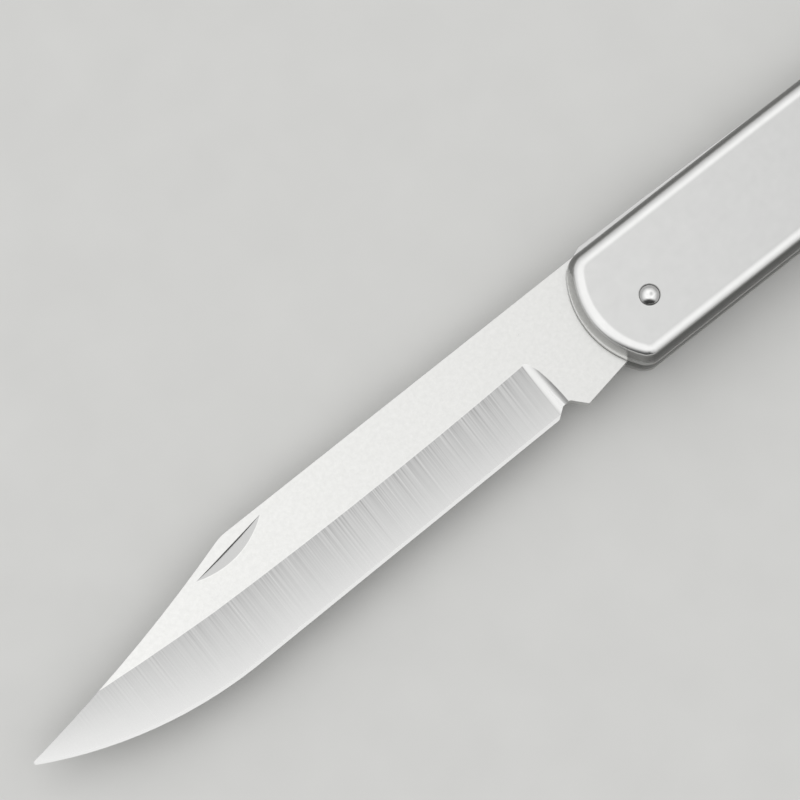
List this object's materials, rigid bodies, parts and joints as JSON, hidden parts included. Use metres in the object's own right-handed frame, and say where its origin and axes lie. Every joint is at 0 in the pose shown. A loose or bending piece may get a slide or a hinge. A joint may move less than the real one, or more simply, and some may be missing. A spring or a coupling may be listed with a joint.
{
  "type": "folding pocket knife",
  "caption": "Folding pocket knife with a clip-point blade on a slip joint, rounded polished steel covers, a back spring and a lanyard eyelet in the tail.",
  "frame": {"origin": "where the pivot axis meets the outer face of the far cover, which the knife lies on", "axes": "+X from the tip to the tail, +Y towards the back, +Z along the pivot, away from the far cover"},
  "size_m": [0.2086, 0.0182, 0.0104],
  "materials": {
    "blade_steel": "satin flats, hollow bevels ground across",
    "spring_steel": "satin ground back, polished",
    "liner_steel": "rolled sheet",
    "cover_steel": "polished stainless",
    "rivet_steel": "polished",
    "pin_steel": "drawn wire",
    "bronze": "rolled phosphor bronze",
    "aluminium": "turned"
  },
  "bodies": {
    "handle": {"back_spring": "spring_steel", "near_liner": "liner_steel", "far_liner": "liner_steel", "near_cover": "cover_steel", "far_cover": "cover_steel", "pivot_rivet": "rivet_steel", "lanyard_eyelet": "rivet_steel", "pivot_bush": "bronze", "near_pivot_washer": "bronze", "far_pivot_washer": "bronze", "near_pivot_collar": "aluminium", "far_pivot_collar": "aluminium", "near_tail_collar": "aluminium", "far_tail_collar": "aluminium", "spring_pin": "pin_steel", "tail_pin": "pin_steel"},
    "blade": {"blade": "blade_steel"}
  },
  "joints": [
    {"name": "blade_pivot", "type": "hinge", "parent": "handle", "child": "blade", "pos_m": [0, 0, 0.00488], "axis": [0, 0, 1], "range_deg": [0, 180], "deforming": ["back_spring"]}
  ]
}
